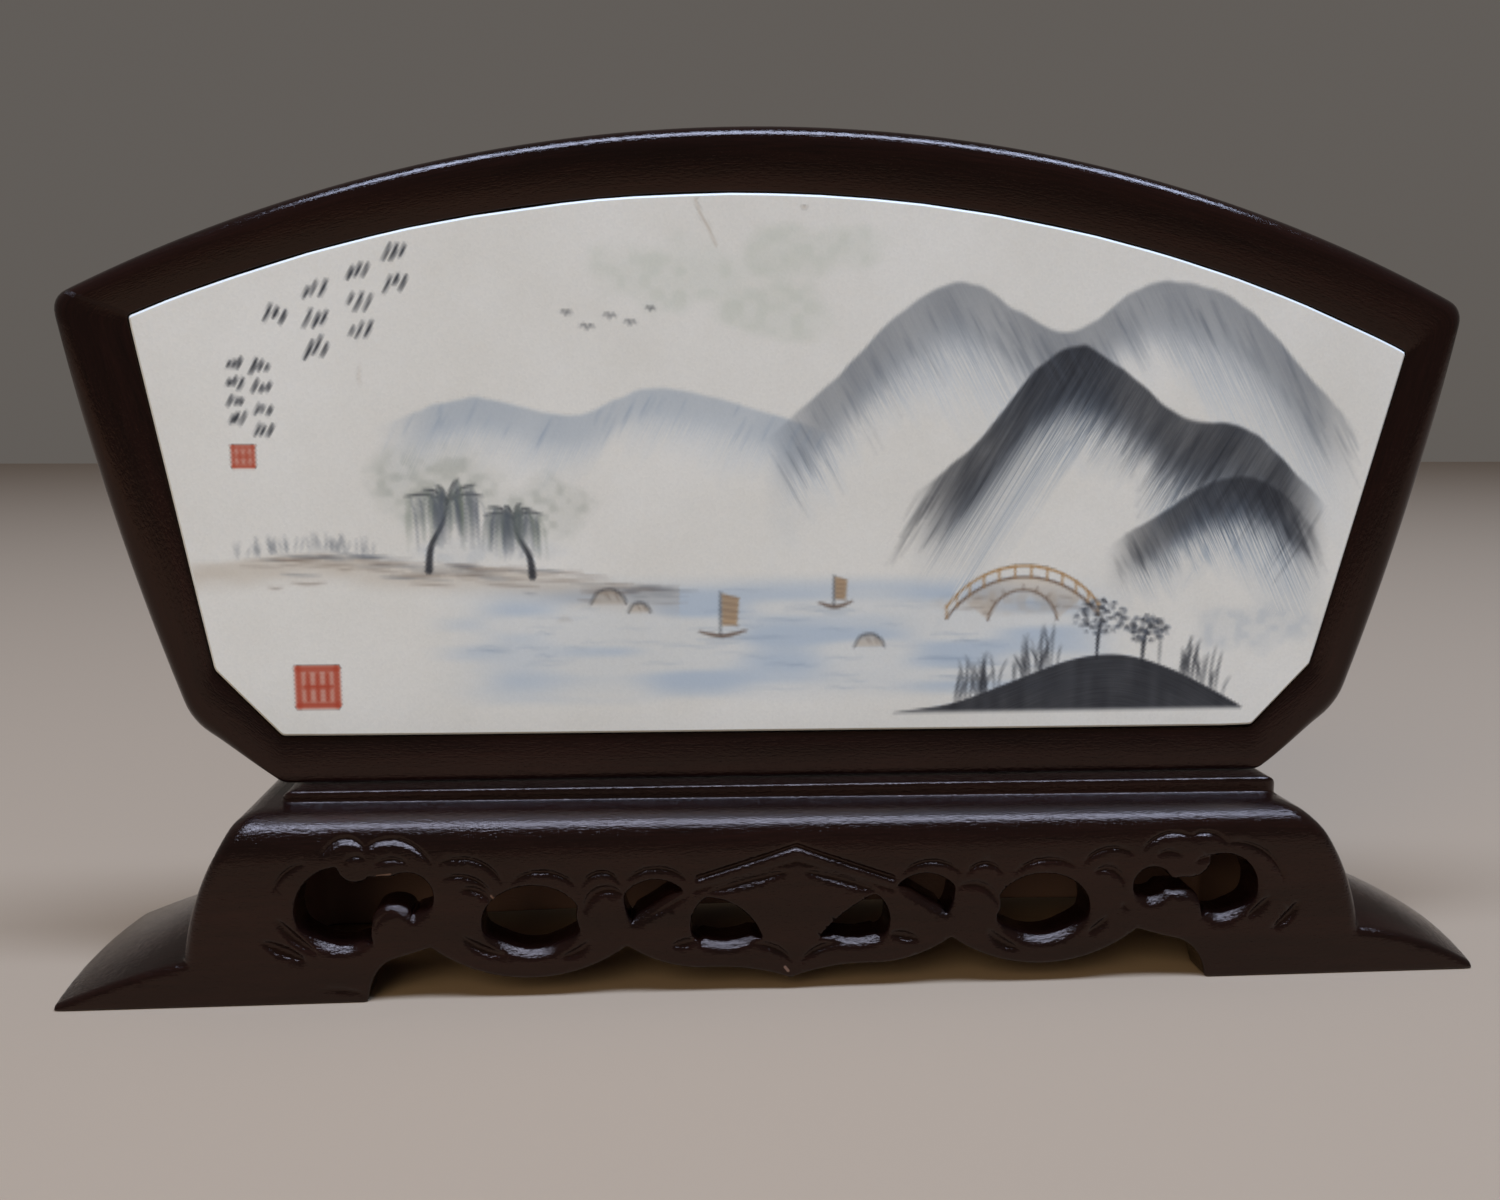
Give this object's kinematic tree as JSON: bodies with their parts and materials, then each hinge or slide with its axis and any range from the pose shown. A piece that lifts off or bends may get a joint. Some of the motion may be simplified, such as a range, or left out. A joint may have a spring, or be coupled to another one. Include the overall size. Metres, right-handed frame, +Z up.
{
  "type": "marble table screen",
  "caption": "Small fan-shaped table screen: a painted marble slab set in a dark lacquered wooden frame, on a pierced and carved stand with outswept feet.",
  "frame": {"origin": "on the table, under the middle of the stand's length and depth", "axes": "+X to the viewer's right along the screen, +Z up, and the painted face looks towards -Y"},
  "size_m": [0.3214, 0.056, 0.1904],
  "materials": {
    "stand_lacquer": "brushed black-brown gloss lacquer on carved hardwood",
    "frame_lacquer": "brushed black-brown gloss lacquer on hardwood, crowned face",
    "painted_marble": "fine sugary white marble, honed, with an ink and colour landscape painted on it"
  },
  "bodies": {
    "root": {"stand": "stand_lacquer", "frame": "frame_lacquer", "marble_slab": "painted_marble"}
  },
  "joints": []
}
